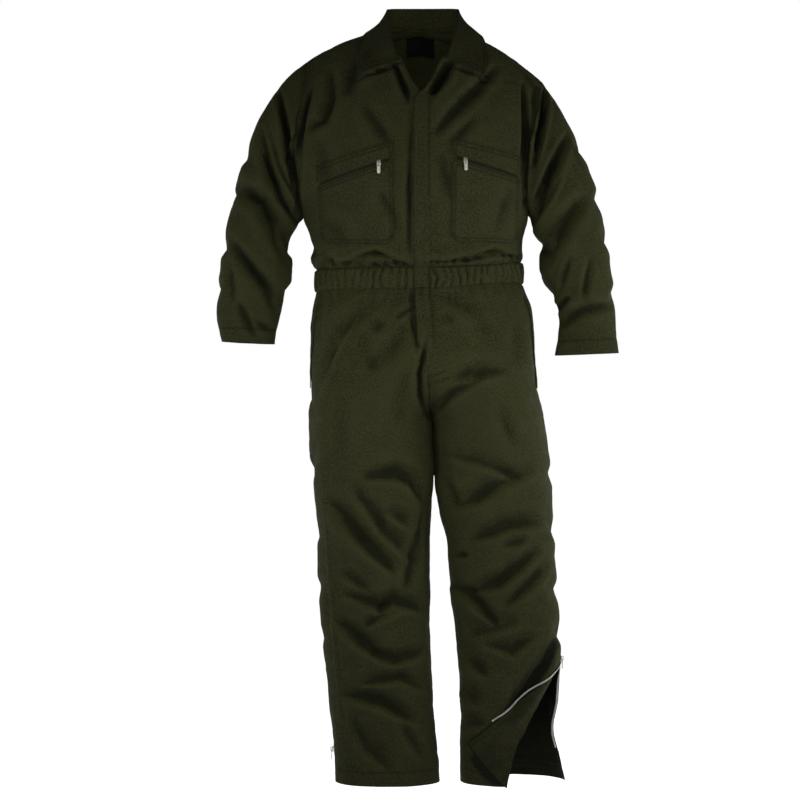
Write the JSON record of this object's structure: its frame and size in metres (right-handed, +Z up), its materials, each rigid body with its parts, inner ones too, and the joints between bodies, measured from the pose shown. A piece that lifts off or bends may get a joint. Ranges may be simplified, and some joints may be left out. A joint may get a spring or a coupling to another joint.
{
  "type": "boiler suit",
  "caption": "Long-sleeved zip-front work boiler suit in dark olive twill, filled out with no wearer, with zipped chest pockets, a gathered waist and zipped leg hems.",
  "frame": {"origin": "the base of the neck, between the shoulders, where a wearer or a hanger holds the suit up", "axes": "+Z up to the collar, -Y out of the front with the zip, +X towards the wearer's left"},
  "size_m": [0.8149, 0.2967, 1.5918],
  "materials": {
    "twill": "matt dark olive cotton twill",
    "zip_tape": "matt woven tape",
    "zip_metal": "satin",
    "zip_pull": "satin, pale",
    "label": "matt black woven label, left bare"
  },
  "bodies": {
    "suit": {"bodice_back": "twill", "bodice_front_left": "twill", "bodice_front_right": "twill", "chest_pocket_left_band": "twill", "chest_pocket_left_patch": "twill", "chest_pocket_right_band": "twill", "chest_pocket_right_patch": "twill", "chest_zip_left": "zip_tape", "chest_zip_left_slider": "zip_metal", "chest_zip_right": "zip_tape", "chest_zip_right_slider": "zip_metal", "collar": "twill", "front_zip": "zip_tape", "front_zip_slider": "zip_metal", "leg_zip_left_back_tape": "zip_tape", "leg_zip_left_front_tape": "zip_tape", "leg_zip_left_slider": "zip_metal", "leg_zip_right": "zip_tape", "leg_zip_right_slider": "zip_metal", "neck_facing_right": "twill", "neck_label": "label", "placket_bodice": "twill", "placket_fly": "twill", "side_pocket_welt_left": "twill", "side_pocket_welt_right": "twill", "sleeve_left": "twill", "sleeve_right": "twill", "trouser_back_left": "twill", "trouser_back_right": "twill", "trouser_front_left": "twill", "trouser_front_right": "twill", "waistband_back": "twill", "waistband_front_left": "twill", "waistband_front_right": "twill", "waistband_tab": "twill"},
    "chest_zip_left_pull": {"chest_zip_left_pull": "zip_pull"},
    "chest_zip_right_pull": {"chest_zip_right_pull": "zip_pull"},
    "leg_zip_left_pull": {"leg_zip_left_pull": "zip_pull"},
    "leg_zip_right_pull": {"leg_zip_right_pull": "zip_pull"}
  },
  "joints": [
    {"name": "chest_zip_left_pull_swing", "type": "hinge", "parent": "suit", "child": "chest_zip_left_pull", "pos_m": [0.07959, -0.14709, -0.2448], "axis": [-0.9752, -0.2214, 0], "range_deg": [0, 140]},
    {"name": "chest_zip_right_pull_swing", "type": "hinge", "parent": "suit", "child": "chest_zip_right_pull", "pos_m": [-0.09073, -0.15087, -0.25081], "axis": [-0.9887, 0.15, 0], "range_deg": [0, 140]},
    {"name": "leg_zip_left_pull_swing", "type": "hinge", "parent": "suit", "child": "leg_zip_left_pull", "pos_m": [0.28208, 0, -1.241], "axis": [0, -1, 0], "range_deg": [0, 140]},
    {"name": "leg_zip_right_pull_swing", "type": "hinge", "parent": "suit", "child": "leg_zip_right_pull", "pos_m": [-0.1884, 0, -1.426], "axis": [0, 1, 0], "range_deg": [0, 140]}
  ]
}
